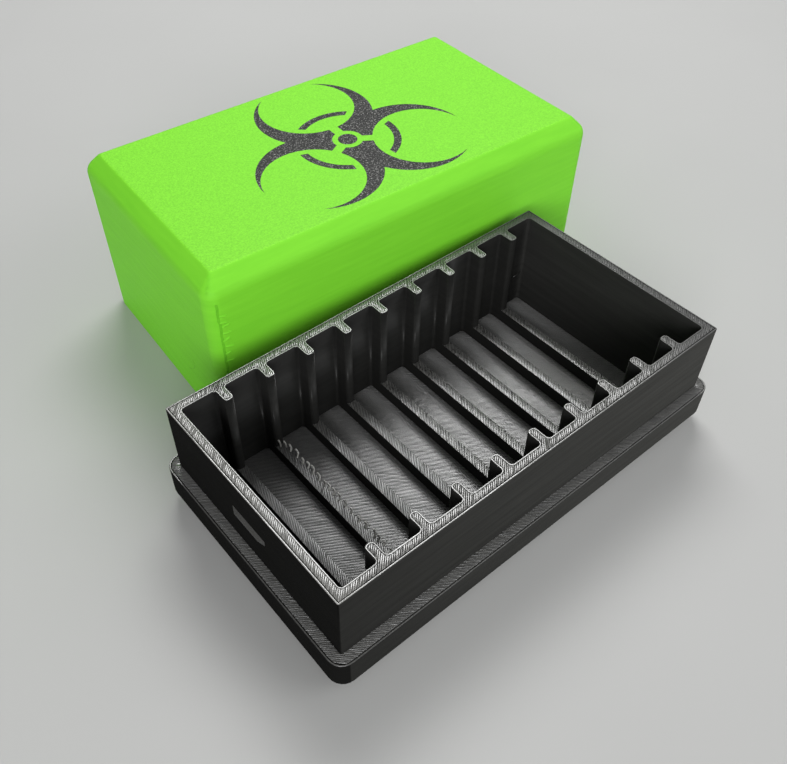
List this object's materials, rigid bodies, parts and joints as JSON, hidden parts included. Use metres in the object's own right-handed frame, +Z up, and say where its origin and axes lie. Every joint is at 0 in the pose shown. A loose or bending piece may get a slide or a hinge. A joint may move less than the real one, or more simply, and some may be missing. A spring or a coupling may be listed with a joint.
{
  "type": "coin storage box",
  "caption": "Printed storage box for boxed coins: a low ribbed tray with a row of upright slots, and a deep lift-off lid with an inlaid hazard sign.",
  "frame": {"origin": "middle of the tray's underside, on the surface that the box stands on", "axes": "+X along the row of slots, +Y towards the lid that stands behind the tray, +Z up"},
  "size_m": [0.1471, 0.1428, 0.051],
  "materials": {
    "black_plastic": "satin, with fine print lines",
    "green_plastic": "matte, with fine print lines",
    "speckled_plastic": "satin, with fine pale speckle"
  },
  "bodies": {
    "tray": {"tray": "black_plastic"},
    "lid": {"lid_shell": "green_plastic", "inlay_hub": "speckled_plastic", "inlay_horn_1": "speckled_plastic", "inlay_horn_2": "speckled_plastic", "inlay_horn_3": "speckled_plastic", "inlay_arc_1": "speckled_plastic", "inlay_arc_2": "speckled_plastic", "inlay_arc_3": "speckled_plastic"}
  },
  "joints": [
    {"name": "lid_lift", "type": "slide", "parent": "tray", "child": "lid", "axis": [0, 0, 1], "range_m": [0, 0.07]}
  ]
}
